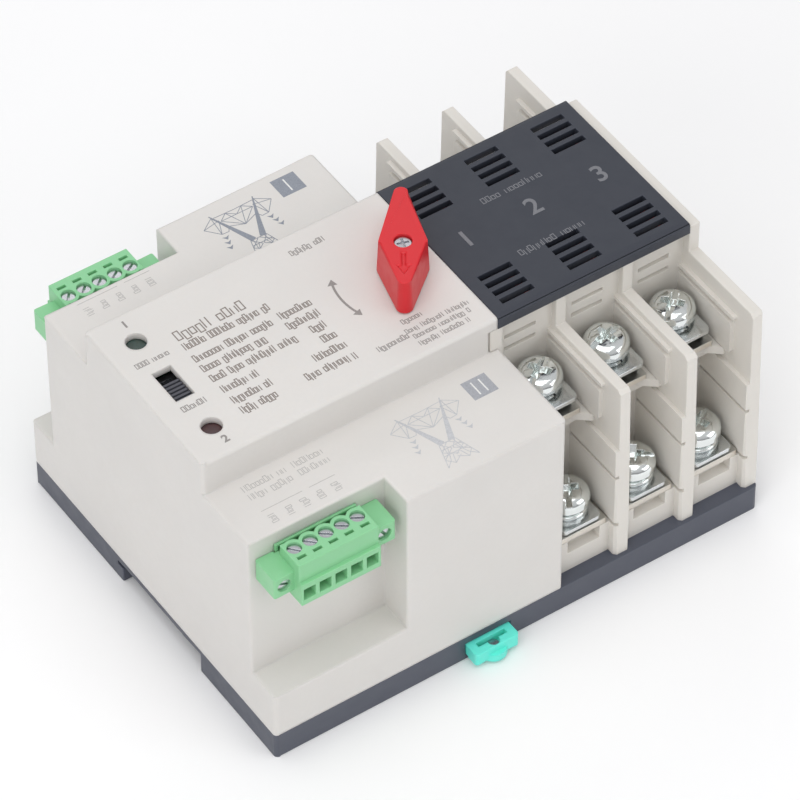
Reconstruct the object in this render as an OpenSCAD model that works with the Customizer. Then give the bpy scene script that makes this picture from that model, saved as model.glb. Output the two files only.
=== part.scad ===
// Dual-source transfer switch for a 35 mm rail: manual selector, electromagnetic drive, three poles.
// X runs along the rail, +Y is the source A side, +Z points away from the rail.

/* [Body] */
// Length of the body along the rail
body_len = 162.5; // [162.5:0.5:168]
// Half of the base's width across the rail
half_w = 61.7; // [61.5:0.1:63]
// Height of the base tray
base_h = 9; // [9:0.1:9.4]
// Height of the side blocks
shoulder_h = 76.7; // [76.5:0.1:78]
// Height of the centre block and the arc cover
top_h = 88.5; // [88:0.1:89.5]
// Wall thickness of the mouldings
wall = 2.2; // [2:0.1:2.4]

/* [Control box] */
// Length of the side blocks
cover_len = 95; // [94.5:0.1:95]
// Half width of the raised centre block
centre_half = 29.3; // [29:0.1:29.6]
// Length of each connector recess
recess_len = 43.3; // [43:0.1:46]
// Distance of the recess wall from the centre plane
recess_wall = 50.6; // [50.2:0.1:50.8]
// Height of the recess floor
recess_floor = 25; // [22:0.5:30]
// Diameter of the two lamp windows
lamp_hole_d = 6.1; // [5.6:0.1:7]

/* [Selector knob] */
// Distance of the knob's axis from the control end
knob_x = 84; // [83.8:0.1:84.2]
// Height of the knob's top face
knob_top = 100.2; // [99:0.1:102]
// Half angle of the knob's turn, from the mid position to either source
knob_half_turn = 57.5; // [50:0.5:58]
// Radius of the crank pin
crank_r = 5; // [4.6:0.1:5]

/* [Poles] */
// Number of poles
pole_count = 3; // [1:1:3]
// Distance between poles
pole_pitch = 22.35; // [22.2:0.05:22.4]
// Thickness of the barriers between poles
barrier_t = 3.4; // [3.2:0.1:3.6]
// Reach of the barriers from the centre plane
barrier_reach = 60.4; // [58:0.1:60.8]

/* [Plug-in connectors] */
// Distance between connector ways
way_pitch = 5; // [5:0.01:5.08]
// Ways in each connector
way_count = 5; // [2:1:5]

/* [Rail] */
// Height of the seat for the rail
seat_z = 6.6; // [6.4:0.1:6.8]

/* [Hidden] */
$fn = 48;
eps = 0.01;
gap = 0.1;                              // general gap between mouldings

mid_x = body_len / 2;
housing_x0 = 92.6;                      // left end of the pole housing
pole_x0 = 95.1;                         // first pole starts here
end_t = 3.5;                            // end plate of the pole housing
end_x = body_len - end_t;
side_y = half_w - 0.1;                  // side faces of the control cover
pole_xs = [for (i = [0 : pole_count - 1]) 104.95 + i * pole_pitch];
barrier_xs = [for (i = [0 : pole_count - 2]) pole_xs[i] + pole_pitch / 2 + 0.33];

// Terminal levels and depths, measured from the centre plane
bus_t = 1.9;
upper_bus_z = 55.7;
upper_front = 45.5;
upper_wall = 26.5;
upper_screw_y = 35;
lower_bus_z = 20.7;
lower_bus_t = 2;
lower_front = 57.2;
lower_wall = 38;
lower_screw_y = 48.8;
lap_z = 84.4;                           // underside of the arc cover's skirt
pad_t = 1.3;                            // height of the raised panels on the barriers

// Contact system
crank_rest = crank_r * sin(knob_half_turn);
beam_z = 40;                            // centre height of the carriage
contact_z = [30, 50];
fixed_y = crank_rest + 12.1;            // faces of the fixed contact tips
tip_t = 1.2;
tab_t = 2;

// Drive
coil_x = 56;
frame_x = [38, 89.8];
frame_y = 41.5;
frame_z = [base_h, 61.5];
sheet = 1.5;

// Connector, measured on the source B side
plug_x = 21.15;
plug_half = way_pitch * way_count / 2 + 0.15;
plug_z = [58.9, 73.8];
plug_front = 62.2;
flange_x = [2.1, 40.7];
flange_z = [62.6, 69.8];
ways = [for (i = [0 : way_count - 1]) plug_x + (i - (way_count - 1) / 2) * way_pitch];

latch_x = [62.6, 77];

// ---------------------------------------------------------------- helpers

// The drawing frame has x = 0 at the control end; the part's own origin is the middle of the rail seat.
module place() translate([-mid_x, 0, -seat_z]) children();

module both_sides() {
    children();
    mirror([0, 1, 0]) children();
}

module outline(x0, x1, y0, y1, r) {
    translate([x0 + r, y0]) square([x1 - x0 - 2 * r, y1 - y0]);
    translate([x0, y0 + r]) square([x1 - x0, y1 - y0 - 2 * r]);
    for (x = [x0 + r, x1 - r], y = [y0 + r, y1 - r]) translate([x, y]) circle(r);
}

module slab(x, y, z, r = 0) {
    if (r > 0) translate([0, 0, z[0]]) linear_extrude(z[1] - z[0]) outline(x[0], x[1], y[0], y[1], r);
    else translate([x[0], y[0], z[0]]) cube([x[1] - x[0], y[1] - y[0], z[1] - z[0]]);
}

// A slab that spans the centre plane
module band(x, half, z, r = 0) slab(x, [-half, half], z, r);

// An outline drawn in Y and Z, extruded along X
module profile(x0, x1) translate([x0, 0, 0]) rotate([90, 0, 90]) linear_extrude(x1 - x0) children();

// The points of one half, from bottom to top, closed by their mirror image
function two_sided(points) = concat(points, [for (i = [len(points) - 1 : -1 : 0]) [-points[i][0], points[i][1]]]);

module rod_y(d, x, z, y0, y1) translate([x, y0, z]) rotate([-90, 0, 0]) cylinder(d = d, h = y1 - y0);

module post(d, x, y, z0, z1) translate([x, y, z0]) cylinder(d = d, h = z1 - z0);

// Compression spring along Y
function spring_ring(r, wire, pitch, a, n) =
    [for (i = [0 : n - 1]) let (b = 360 * i / n)
        [(r + wire * cos(b)) * cos(a), pitch * a / 360 + wire * sin(b), (r + wire * cos(b)) * sin(a)]];

module spring(r, wire, pitch, turns) {
    n = 5;
    steps = turns * 8;
    points = [for (s = [0 : steps]) each spring_ring(r, wire, pitch, s * 45, n)];
    sides = [for (s = [0 : steps - 1], i = [0 : n - 1])
        [s * n + i, (s + 1) * n + i, (s + 1) * n + (i + 1) % n, s * n + (i + 1) % n]];
    ends = [[for (i = [0 : n - 1]) i], [for (i = [n - 1 : -1 : 0]) steps * n + i]];
    polyhedron(points, concat(sides, ends));
}

// ---------------------------------------------------------------- base and rail latch

// Two screws for the control cover, then two for the pole housing, mirrored to both sides
base_screw_spots = [[8.5, 54], [88, 54], [barrier_xs[0], 50], [barrier_xs[1], 50]];

module base_plate() color("#4d515d") place() difference() {
    union() {
        difference() {
            band([0, body_len - 0.5], half_w, [0, base_h], 1.4);
            for (y = [[-59, -26.5], [20.5, 59]]) slab([3, 60], y, [2.4, base_h + 1], 2);
            for (y = [[-56.6, -26.5], [20.5, 56.6]]) slab([80, 159], y, [2.4, base_h + 1], 2);
            slab([60 + wall, 80 - wall], [20.5, 59], [2.4, base_h + 1], 2);
        }
        for (p = base_screw_spots, s = [-1, 1]) post(9, p[0], s * p[1], 0, base_h);
    }
    // rail channel, its seat, and the undercuts beside the seat
    slab([-1, body_len + 1], [-24, 15.4], [-1, seat_z]);
    slab([-1, body_len + 1], [-24, -15.3], [0, seat_z + 0.3]);
    slab([-1, body_len + 1], [15.3, 18], [5.4, seat_z + 0.3]);
    // latch guide: a wide upper groove over a narrower slot
    slab([latch_x[0] - 0.15, latch_x[1] + 0.15], [-half_w - 1, -23], [1.9, 6.2]);
    slab([latch_x[0] + 1.6, latch_x[1] - 1.6], [-half_w - 1, -23], [-1, 2]);
    for (p = base_screw_spots, s = [-1, 1]) {
        post(3.4, p[0], s * p[1], -1, base_h + 1);
        post(6.4, p[0], s * p[1], -1, 3.2);
    }
}

module rail_latch() color("#38c9a8") place() difference() {
    union() {
        slab(latch_x, [-64, -21], [2.1, 6]);
        slab([latch_x[0] + 1.8, latch_x[1] - 1.8], [-64, -15.7], [1, 5.3]);
        // pull lug outside the base
        slab(latch_x, [-66.6, -62], [1.6, 6], 1);
        translate([69.8, -64.2, 1.2]) cylinder(d = 8, h = 2.4);
    }
    // screwdriver slot with a round hole, and pockets for the spring
    slab([65, 74.6], [-64.2, -62.6], [4.4, 7]);
    post(3.6, 69.8, -64.4, 0, 7);
    slab([66.8, 72.8], [-60, -42], [3.4, 7]);
    slab([67.4, 72.2], [-40, -24], [0, 7]);
}

module latch_spring() color("#b9bdc2") place() {
    post(3.5, 69.8, -64.4, 2.4, 4.3);
    slab([67.2, 72.4], [-59.6, -57], [3.4, 5.8]);
    for (i = [0 : 3]) {
        slab([67.2, 72.4], [-57 + i * 3.6, -56.2 + i * 3.6], [3.5, 5.5]);
        x0 = i % 2 == 0 ? 71.6 : 67.2;
        slab([x0, x0 + 0.8], [-56.2 + i * 3.6, -53.4 + i * 3.6], [3.5, 5.5]);
    }
    slab([67.2, 72.4], [-42.7, -42], [3.4, 5.8]);
}

module base_screws() color("#c3c6ca") place() for (p = base_screw_spots, s = [-1, 1]) difference() {
    union() {
        post(6, p[0], s * p[1], 1.2, 3.2);
        post(3, p[0], s * p[1], 3.1, 17);
    }
    translate([p[0] - 2.2, s * p[1] - 0.4, 0.5]) cube([4.4, 0.8, 1.6]);
    translate([p[0] - 0.4, s * p[1] - 2.2, 0.5]) cube([0.8, 4.4, 1.6]);
}

// ---------------------------------------------------------------- control cover

window_x = [plug_x - plug_half - 0.35, plug_x + plug_half + 0.35];
window_z = [57.9, 72.1];
slot_x = [6.9, 12.9];
slot_y = 6.1;
lamp_x = 10;
lamp_y = 18.6;
spindle_d = 8;

module cover_cavity() {
    inner = side_y - wall;
    band([wall, cover_len - wall], inner, [base_h - 1, recess_floor - wall]);
    band([wall, cover_len - wall], recess_wall - wall, [base_h - 1, shoulder_h - wall]);
    band([recess_len + wall, cover_len - wall], inner, [base_h - 1, shoulder_h - wall]);
    band([wall, housing_x0 - gap - wall], centre_half - wall, [base_h - 1, top_h - wall]);
}

module control_cover() color("#dad7d2") place() difference() {
    union() {
        difference() {
            union() {
                band([0, cover_len], side_y, [base_h, shoulder_h], 1.2);
                band([0, housing_x0 - gap], centre_half, [base_h, top_h], 1.2);
                band([20, cover_len - gap], centre_half, [lap_z + gap, top_h]);
            }
            cover_cavity();
            both_sides() slab([-1, recess_len], [recess_wall, half_w + 1], [recess_floor, top_h + 1]);
            // room for the pole housing, and the passage of the contact carriage
            band([housing_x0 - gap, cover_len + 1], centre_half, [base_h - 1, lap_z]);
            band([80, cover_len + 1], 14, [28, 53]);
        }
        // screw bosses
        both_sides() {
            post(7, base_screw_spots[0][0], base_screw_spots[0][1], base_h, recess_floor - 1);
            post(7, base_screw_spots[1][0], base_screw_spots[1][1], base_h, shoulder_h - 1);
        }
    }
    for (s = [-1, 1], i = [0, 1])
        post(3, base_screw_spots[i][0], s * base_screw_spots[i][1], base_h - 1, 20);
    for (s = [-1, 1]) post(lamp_hole_d, lamp_x, s * lamp_y, top_h - 4, top_h + 1);
    band(slot_x, slot_y, [top_h - 4, top_h + 1]);
    post(spindle_d + 0.8, knob_x, 0, top_h - 4, top_h + 1);
    both_sides() {
        slab(window_x, [recess_wall - wall - 1, recess_wall + 1], window_z);
        for (x = [5.3, 37.2]) rod_y(3.6, x, 66.2, recess_wall - wall - 1, recess_wall + 1);
    }
}

// ---------------------------------------------------------------- electronics

board_z = 56.4;
board_t = 1.6;
display_z = 76;

post_spots = [for (x = [7, 33.6], y = [-23.5, 23.5]) [x, y]];

module board_holes(z) for (p = post_spots) post(3.2, p[0], p[1], z - 1, z + 3);

module control_board() color("#1f6b46") place() difference() {
    band([4, 36.6], 47.6, [board_z, board_z + board_t], 1);
    board_holes(board_z);
    for (x = relay_leg_xs, y = relay_ys, dy = [-3, 3]) post(1.2, x, y + dy, board_z - 1, board_z + 3);
    both_sides() for (x = ways) slab([x - 0.6, x + 0.6], [41.4, 42.6], [board_z - 1, board_z + 3]);
}

module display_board() color("#1f6b46") place() difference() {
    band([4, 36.6], 26.6, [display_z, display_z + board_t], 1);
    board_holes(display_z);
}

// Threaded pillars between the two boards, with the lower legs down to the base
module board_posts() color("#b9a46a") place() for (p = post_spots) {
    post(5.4, p[0], p[1], board_z + board_t, display_z);
    post(5.4, p[0], p[1], base_h, board_z);
    post(3.1, p[0], p[1], base_h, display_z + board_t + 1);
    post(5, p[0], p[1], display_z + board_t, display_z + board_t + 1.4);
}

relay_ys = [-8, 8];
relay_leg_xs = [15, 25];

module relays() color("#2b5fa8") place() for (y = relay_ys) {
    slab([12, 28], [y - 6, y + 6], [board_z + board_t, board_z + board_t + 15], 0.8);
    for (x = relay_leg_xs, dy = [-3, 3]) post(1, x, y + dy, board_z - 2, board_z + board_t + 0.5);
}

module capacitors() color("#2e3138") place() for (y = [-30, 30], x = [12, 24]) {
    post(8, x, y, board_z + board_t, board_z + board_t + 13);
    post(7, x, y, board_z + board_t + 13, board_z + board_t + 13.4);
}

// Wire terminals under the board, for the leads of the two coils
module board_terminals() color("#e6e3dc") place() for (y = [-33, 33]) difference() {
    slab([26, 36], [y - 5, y + 5], [board_z - 8, board_z]);
    for (dy = [-2.5, 2.5]) translate([40, y + dy, board_z - 4.5]) rotate([0, -90, 0]) cylinder(d = 2.4, h = 9);
}

// A lamp with a broad lens close under the cover's top wall
module lamp(y) {
    lens_z = top_h - wall - 0.3;
    post(6.2, lamp_x, y, display_z + board_t, display_z + board_t + 1);
    post(5.4, lamp_x, y, display_z + board_t, lens_z - 1.5);
    post(9, lamp_x, y, lens_z - 1.6, lens_z - 0.4);
    post(8.2, lamp_x, y, lens_z - 0.5, lens_z);
}

module lamp_a() color("#2f6d4f") place() lamp(lamp_y);
module lamp_b() color("#7d3434") place() lamp(-lamp_y);

slider_len = 7.6;

module slide_switch() color("#8f9499") place() difference() {
    slab([5.4, 14.4], [-8, 8], [display_z + board_t, 83.4]);
    slab([7.2, 12.6], [-6.2, 6.2], [display_z + board_t + 1.2, 85]);
}

module switch_slider() color("#24262b") place() difference() {
    slider_y = -slot_y + 0.15;
    union() {
        slab([7.4, 12.4], [slider_y + 0.05, slider_y + slider_len], [display_z + board_t + 1.4, 83.6]);
        slab([7.2, 12.6], [slider_y, slider_y + slider_len], [83.5, top_h - 1]);
    }
    for (i = [0 : 4]) slab([6, 14], [slider_y + 0.9 + i * 1.35, slider_y + 1.5 + i * 1.35], [top_h - 1.7, top_h]);
}

// ---------------------------------------------------------------- plug-in connectors

module header() difference() {
    union() {
        slab([window_x[0] + gap, window_x[1] - gap], [44, 51.3], [window_z[0] + gap, window_z[1] - gap]);
        slab([2.6, 40.6], [44, recess_wall - wall - gap], [61.5, 70.9]);
    }
    // socket for the plug, and threaded inserts for its flange screws
    slab([window_x[0] + 1.1, window_x[1] - 1.1], [45.6, 52], [window_z[0] + 1.3, window_z[1] - 1]);
    for (x = [5.3, 37.2]) rod_y(3.2, x, 66.2, 43, 52);
    for (x = ways) slab([x - 0.55, x + 0.55], [43, 46], [64.1, 65.3]);
}

module header_a() color("#8fd79a") place() header();
module header_b() color("#8fd79a") place() mirror([0, 1, 0]) header();

module header_pins() for (x = ways) {
    slab([x - 0.5, x + 0.5], [41.5, 49.5], [64.2, 65.2]);
    slab([x - 0.5, x + 0.5], [41.5, 42.5], [board_z - 1.5, 64.3]);
}

module header_pins_a() color("#c9ccd0") place() header_pins();
module header_pins_b() color("#c9ccd0") place() mirror([0, 1, 0]) header_pins();

wire_front = plug_front + 1.1;
plug_screw_y = 56;

module plug() difference() {
    x = [plug_x - plug_half, plug_x + plug_half];
    union() {
        slab(x, [54.4, plug_front], plug_z);
        intersection() {
            slab(x, [52, 57], plug_z);
            for (w = ways) post(6.2, w, plug_screw_y, plug_z[0], plug_z[1]);
        }
        for (end = [x[0], x[1] - 1.2]) slab([end, end + 1.2], [53, 55], plug_z);
        slab(x, [plug_front - 1, wire_front], [plug_z[0], 67]);
        for (x = [[flange_x[0], 9.5], [32.8, flange_x[1]]]) slab(x, [51.5, plug_front - 2.2], flange_z, 0.6);
        for (x = [[flange_x[0], 7.8], [34.5, flange_x[1]]]) slab(x, [recess_wall + gap, 54], flange_z, 0.6);
        slab([x[0] + 1, x[1] - 1], [46, 55], [window_z[0] + 1.7, window_z[1] - 3.5]);
    }
    for (w = ways) {
        slab([w - 1.85, w + 1.85], [50.4, wire_front + 1], [60.8, 64.9]);
        slab([w - 0.8, w + 0.8], [45, 51], [63.6, 65.8]);
        post(4.2, w, plug_screw_y, 66, plug_z[1] + 1);
        post(2.7, w, plug_screw_y, 64, 67);
        slab([w - 1.35, w + 1.35], [59.1, 60.1], [plug_z[1] - 2, plug_z[1] + 1]);
    }
    for (fx = [5.3, 37.2]) {
        rod_y(4.2, fx, 66.2, 56.5, 61);
        rod_y(3, fx, 66.2, 50, 61);
    }
}

module plug_a() color("#8cd797") place() plug();
module plug_b() color("#8cd797") place() mirror([0, 1, 0]) plug();

module plug_screws() {
    for (w = ways) difference() {
        union() {
            post(3.9, w, plug_screw_y, 70.4, 73);
            post(2.5, w, plug_screw_y, 64.95, 70.5);
        }
        translate([w, plug_screw_y, 73]) rotate(20 + 35 * w) cube([4.4, 0.7, 1.6], center = true);
    }
    for (fx = [5.3, 37.2]) difference() {
        union() {
            rod_y(4, fx, 66.2, 57.6, 59.2);
            rod_y(2.5, fx, 66.2, 45, 58);
        }
        translate([fx, 59.2, 66.2]) rotate([0, 20 + fx, 0]) cube([4.4, 1.4, 0.8], center = true);
    }
}

module plug_screws_a() color("#c9ccd0") place() plug_screws();
module plug_screws_b() color("#c9ccd0") place() mirror([0, 1, 0]) plug_screws();

// Rising clamps inside the wire entries
module plug_cages() for (w = ways) difference() {
    slab([w - 1.75, w + 1.75], [53.6, 58.4], [60.9, 64.8]);
    slab([w - 1.3, w + 1.3], [53, 59], [61.4, 64.3]);
}

module plug_cages_a() color("#b8bbbf") place() plug_cages();
module plug_cages_b() color("#b8bbbf") place() mirror([0, 1, 0]) plug_cages();

// ---------------------------------------------------------------- drive

bush_z = [58, 64];

module drive_frame() color("#a9adb2") place() difference() {
    band(frame_x, frame_y, frame_z);
    band([frame_x[0] - 1, frame_x[1] + 1], frame_y - sheet, [frame_z[0] + sheet, frame_z[1] - sheet]);
    for (y = [-1, 1]) rod_y(10, coil_x, beam_z, y > 0 ? 30 : -50, y > 0 ? 50 : -30);
    post(12, knob_x, 0, frame_z[1] - 3, frame_z[1] + 1);
}

bobbin_y = [10, 39.9];
winding_y = [11.6, 38.3];

module bobbin() difference() {
    union() {
        for (y = [[bobbin_y[0], winding_y[0]], [winding_y[1], bobbin_y[1]]])
            slab([coil_x - 16.5, coil_x + 16.5], y, [beam_z - 16.5, beam_z + 16.5]);
        rod_y(15.6, coil_x, beam_z, bobbin_y[0], bobbin_y[1]);
    }
    rod_y(12.16, coil_x, beam_z, bobbin_y[0] - 1, bobbin_y[1] + 1);
}

module bobbin_a() color("#e9e2cf") place() bobbin();
module bobbin_b() color("#e9e2cf") place() mirror([0, 1, 0]) bobbin();

module coil() difference() {
    rod_y(30, coil_x, beam_z, winding_y[0] + 0.05, winding_y[1] - 0.05);
    rod_y(15.6, coil_x, beam_z, winding_y[0] - 1, winding_y[1] + 1);
}

module coil_a() color("#a5602d") place() coil();
module coil_b() color("#a5602d") place() mirror([0, 1, 0]) coil();

// Fixed iron cores that close the outer end of each coil
module core_stops() color("#8d9095") place() both_sides() {
    rod_y(12.1, coil_x, beam_z, 34.2, frame_y - sheet);
    rod_y(9.9, coil_x, beam_z, frame_y - sheet - eps, frame_y + 2);
}

module spindle_bush() color("#c9a24b") place() difference() {
    union() {
        post(11.9, knob_x, 0, frame_z[1] - sheet, bush_z[1]);
        post(15, knob_x, 0, bush_z[0] - 0.1, frame_z[1] - sheet);
        post(15, knob_x, 0, frame_z[1], frame_z[1] + 1.2);
    }
    post(spindle_d + 0.1, knob_x, 0, bush_z[0] - 1, bush_z[1] + 1);
}

// ---------------------------------------------------------------- selector, turning about the spindle

// Turns drawing x+ to the direction of source B
module at_rest() translate([knob_x, 0, 0]) rotate(180 + knob_half_turn) children();

knob_reach = [-20.5, 16.1];             // blunt end and pointing end, from the axis
knob_half_w = 6.7;
knob_z0 = top_h + 0.4;

// Elongated diamond with rounded corners
module knob_outline(grow) hull() {
    for (x = [knob_reach[0] + 2, knob_reach[1] - 2]) translate([x, 0]) circle(2 + grow, $fn = 32);
    for (s = [-1, 1]) translate([0, s * (knob_half_w - 1.5)]) circle(1.5 + grow, $fn = 32);
}

module knob() color("#d63a44") place() at_rest() difference() {
    hull() {
        translate([0, 0, knob_z0]) linear_extrude(0.5) knob_outline(0.5);
        translate([0, 0, knob_top - 1]) linear_extrude(1) knob_outline(0);
    }
    translate([0, 0, knob_z0 - 1]) cylinder(d = spindle_d + 0.02, h = knob_top - 4 - knob_z0 + 1);
    cylinder(d = 5.1, h = knob_top + 1);
    // engraved arrow
    translate([4.6, -0.35, knob_top - 0.5]) cube([5, 0.7, 1]);
    translate([0, 0, knob_top - 0.5]) linear_extrude(1) polygon([[9.4, -1.5], [12, 0], [9.4, 1.5]]);
}

module knob_screw() color("#c9ccd0") place() at_rest() difference() {
    union() {
        translate([0, 0, knob_top - 3.9]) cylinder(d = 4.6, h = 3);
        translate([0, 0, 87]) cylinder(d = 3, h = knob_top - 3.8 - 87);
    }
    for (a = [0, 90]) rotate(a + 15) translate([-1.7, -0.35, knob_top - 1.8]) cube([3.4, 0.7, 2]);
}

spindle_z = [47, knob_top - 4];

module spindle() color("#9a9da3") place() at_rest() difference() {
    union() {
        translate([0, 0, spindle_z[0]]) cylinder(d = spindle_d, h = spindle_z[1] - spindle_z[0]);
        translate([0, 0, spindle_z[0]]) cylinder(d = 16.6, h = 4);
    }
    translate([0, 0, 86]) cylinder(d = 3, h = 20);
    translate([crank_r, 0, spindle_z[0] - 1]) cylinder(d = 3, h = 6);
}

module crank_pin() color("#b7babf") place() at_rest() translate([crank_r, 0, 0]) {
    translate([0, 0, beam_z - 3.4]) cylinder(d = 4, h = spindle_z[0] - beam_z + 3.4 - eps);
    translate([0, 0, spindle_z[0] - 1]) cylinder(d = 3, h = 4);
}

// ---------------------------------------------------------------- carriage, sliding along Y

module moved() translate([0, -crank_rest, 0]) children();

beam_half = 3.5;
beam_h = [beam_z - 4, beam_z + 4];
guide_x = 156.3;
guide_d = 3;

module carriage() color("#3b3f46") place() moved() difference() {
    union() {
        band([coil_x - 6, guide_x + 2.1], beam_half, beam_h);
        band([74, 90], 7.5, beam_h, 1.5);
        band([coil_x - 6.5, coil_x + 6.5], 5, [beam_z - 6, beam_z + 6]);
        for (x = pole_xs) rod_y(3, x, beam_z, -12.4, 12.4);
    }
    // slot for the crank pin, wide enough for the pin's arc
    slot_end = [knob_x - crank_r - 2.5, knob_x - crank_r * cos(knob_half_turn) + 2.5];
    band(slot_end, 2.35, [0, 60]);
    rod_y(6, coil_x, beam_z, -9, 9);
    rod_y(guide_d + 0.1, guide_x, beam_z, -9, 9);
}

module plunger() color("#8d9095") place() moved() {
    rod_y(6, coil_x, beam_z, -8, 8);
    for (s = [-1, 1]) rod_y(12, coil_x, beam_z, s > 0 ? 6 : -29, s > 0 ? 29 : -6);
}

bar_y = [9.2, 10.9];

module bridge_contacts() color("#c98a4f") place() moved() both_sides() for (x = pole_xs) difference() {
    slab([x - 4.2, x + 4.2], bar_y, [26, 54]);
    rod_y(3.2, x, beam_z, 8, 12);
}

module bridge_tips() color("#d9dadd") place() moved() both_sides()
    for (x = pole_xs, z = contact_z) rod_y(6, x, z, bar_y[1], 12);

module bridge_springs() color("#aeb2b8") place() moved() both_sides()
    for (x = pole_xs) translate([x, beam_half + 0.45, beam_z]) spring(2.2, 0.35, 1.2, 4);

module guide_rod() color("#b7babf") place() rod_y(guide_d, guide_x, beam_z, -lower_wall + 0.8, lower_wall - 0.8);

// ---------------------------------------------------------------- pole housing

module core_section() polygon(two_sided([
    [lower_front + 0.1, base_h], [lower_front + 0.1, lower_bus_z], [lower_wall, lower_bus_z],
    [lower_wall, 49], [upper_front - 1.8, 51], [upper_front - 1.8, upper_bus_z], [upper_wall, upper_bus_z],
    [upper_wall, 86]]));

module barrier_section(top, shelf, cap_z) polygon(two_sided([
    [barrier_reach, base_h], [barrier_reach - 1.5, top - 1.2], [barrier_reach - 2.6, top],
    [shelf, top], [shelf, cap_z]]));

// A plate between x0 and x0 + t with its outline drawn in Y and Z, and its front corners cut by c
module cut_plate(x0, t, c) intersection() {
    r = barrier_reach;
    profile(x0, x0 + t) children();
    translate([x0, 0, 0]) linear_extrude(top_h) polygon([
        [0, c - r], [c, -r], [t - 0.4, -r], [t, 0.4 - r],
        [t, r - 0.4], [t - 0.4, r], [c, r], [0, r - c]]);
}

module barrier(x0, t, top, shelf, cap_z) {
    cut_plate(x0, t, 0.4) barrier_section(top, shelf, cap_z);
    // thicker lower part, with two grooves across it
    cut_plate(x0 - pad_t, t, 0.9) intersection() {
        barrier_section(top, shelf, cap_z);
        for (z = [[base_h, 20.6], [21.9, 39.4], [40.6, 50.4]], y = [lower_wall, -barrier_reach])
            translate([y, z[0]]) square([barrier_reach - lower_wall, z[1] - z[0]]);
    }
}

// Raised panel, rib and bracket on the left face of a barrier at x0
module barrier_panels(x0) both_sides() {
    profile(x0 - pad_t, x0 + eps) {
        outline(upper_wall - 2, 51, 56, 68, 1.2);
        outline(upper_wall - 2, 52, 69.8, 71.2, 0.6);
    }
    // bracket under the corner of the upper busbar
    translate([x0 - 6.2, upper_front - 2, 52.8]) linear_extrude(2.8)
        polygon([[0, 0], [6.3, 0], [6.3, 4.3], [5.3, 4.3]]);
}

louvre_zs = [71.4, 76];

module pole_openings(x) both_sides() {
    // busbar passages, louvres, screw clearance and the pocket under the lower busbar
    slab([x - 6.7, x + 6.7], [20, upper_wall + 1], [upper_bus_z, upper_bus_z + bus_t + 0.2]);
    slab([x - 8, x + 7.6], [30, lower_wall + 1], [lower_bus_z, lower_bus_z + lower_bus_t + 0.2]);
    for (z = louvre_zs) slab([x - 5.8, x + 4.6], [upper_wall - 1.4, upper_wall + 1], [z - 0.7, z + 0.7]);
    post(7, x, upper_screw_y, 51.5, upper_bus_z + 1);
    post(7, x, lower_screw_y, 14, lower_bus_z + 1);
    slab([x - 5.4, x + 5.4], [lower_front - 3, lower_front + 1], [16.1, lower_bus_z + eps]);
}

module pole_housing() color("#cec9c1") place() difference() {
    cavity_lo = lower_wall - wall;
    cavity_hi = upper_wall - wall;
    union() {
        profile(pole_x0, end_x + 1) core_section();
        band([housing_x0, pole_x0 + 1.5], centre_half - gap, [base_h, lap_z - gap]);
        for (x = barrier_xs) barrier(x - barrier_t / 2, barrier_t, 73.2, 28.7, lap_z - gap);
        barrier(end_x, end_t, 77, 29.3, 86.9);
        for (x = barrier_xs) barrier_panels(x - barrier_t / 2);
        barrier_panels(end_x);
    }
    // contact chambers, one per pole, open below and above
    for (i = [0 : pole_count - 1]) {
        x = [i == 0 ? pole_x0 + wall : barrier_xs[i - 1] + 1, i == pole_count - 1 ? end_x : barrier_xs[i] - 1];
        band(x, cavity_lo, [base_h - 1, 48.5]);
        band(x, cavity_hi, [base_h, 90]);
        both_sides() slab([x[0] + 2, x[1] - 2], [lower_wall + 2, lower_front - 5], [base_h - 1, 13]);
    }
    band([housing_x0 - 1, end_x - 0.6], 14, [28, 53]);
    for (x = pole_xs) pole_openings(x);
    rod_y(guide_d, guide_x, beam_z, -lower_wall + 0.8, lower_wall - 0.8);
    for (s = [-1, 1], i = [2, 3])
        post(3, base_screw_spots[i][0], s * base_screw_spots[i][1], base_h - 1, 19);
}

module arc_cover() color("#4a4f5c") place() difference() {
    x = [cover_len, end_x - gap];
    profile(x[0], x[1]) polygon(two_sided([[29.7, lap_z], [29.6, 87.9], [28, top_h]]));
    band([x[0] - 1, x[1] + 1], 27.8, [0, 86.1]);
    for (px = pole_xs, i = [0 : 3]) both_sides()
        slab([px - 5.75, px + 4.85], [13.35 + 3.4 * i, 15.25 + 3.4 * i], [80, 90]);
}

chute_ys = [for (i = [0 : 3]) 9.5 + 3.8 * i];

module arc_plates() color("#9da1a6") place() both_sides() for (x = pole_xs, y = chute_ys) difference() {
    slab([x - 6.4, x + 6.4], [y, y + 0.9], [61, 80]);
    slab([x - 1.5, x + 1.5], [y - 1, y + 2], [60, 68]);
}

module arc_cheeks() color("#b5493a") place() both_sides() for (x = pole_xs, s = [-1, 1]) difference() {
    slab([x + s * 6.9 - 0.5, x + s * 6.9 + 0.5], [8, 23.6], [60.5, 80.5]);
    for (z = [65, 75]) translate([x, 15.8, z]) rotate([0, 90, 0]) cylinder(d = 2, h = 20, center = true);
}

// ---------------------------------------------------------------- conductors and terminal hardware

module upper_busbar(x) difference() {
    union() {
        slab([x - 6.5, x + 6.5], [fixed_y + tip_t, upper_front], [upper_bus_z, upper_bus_z + bus_t], 0.6);
        slab([x - 4.5, x + 4.5], [fixed_y + tip_t, fixed_y + tip_t + tab_t], [45.5, upper_bus_z + bus_t]);
    }
    post(6, x, upper_screw_y, 50, 60);
}

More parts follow.
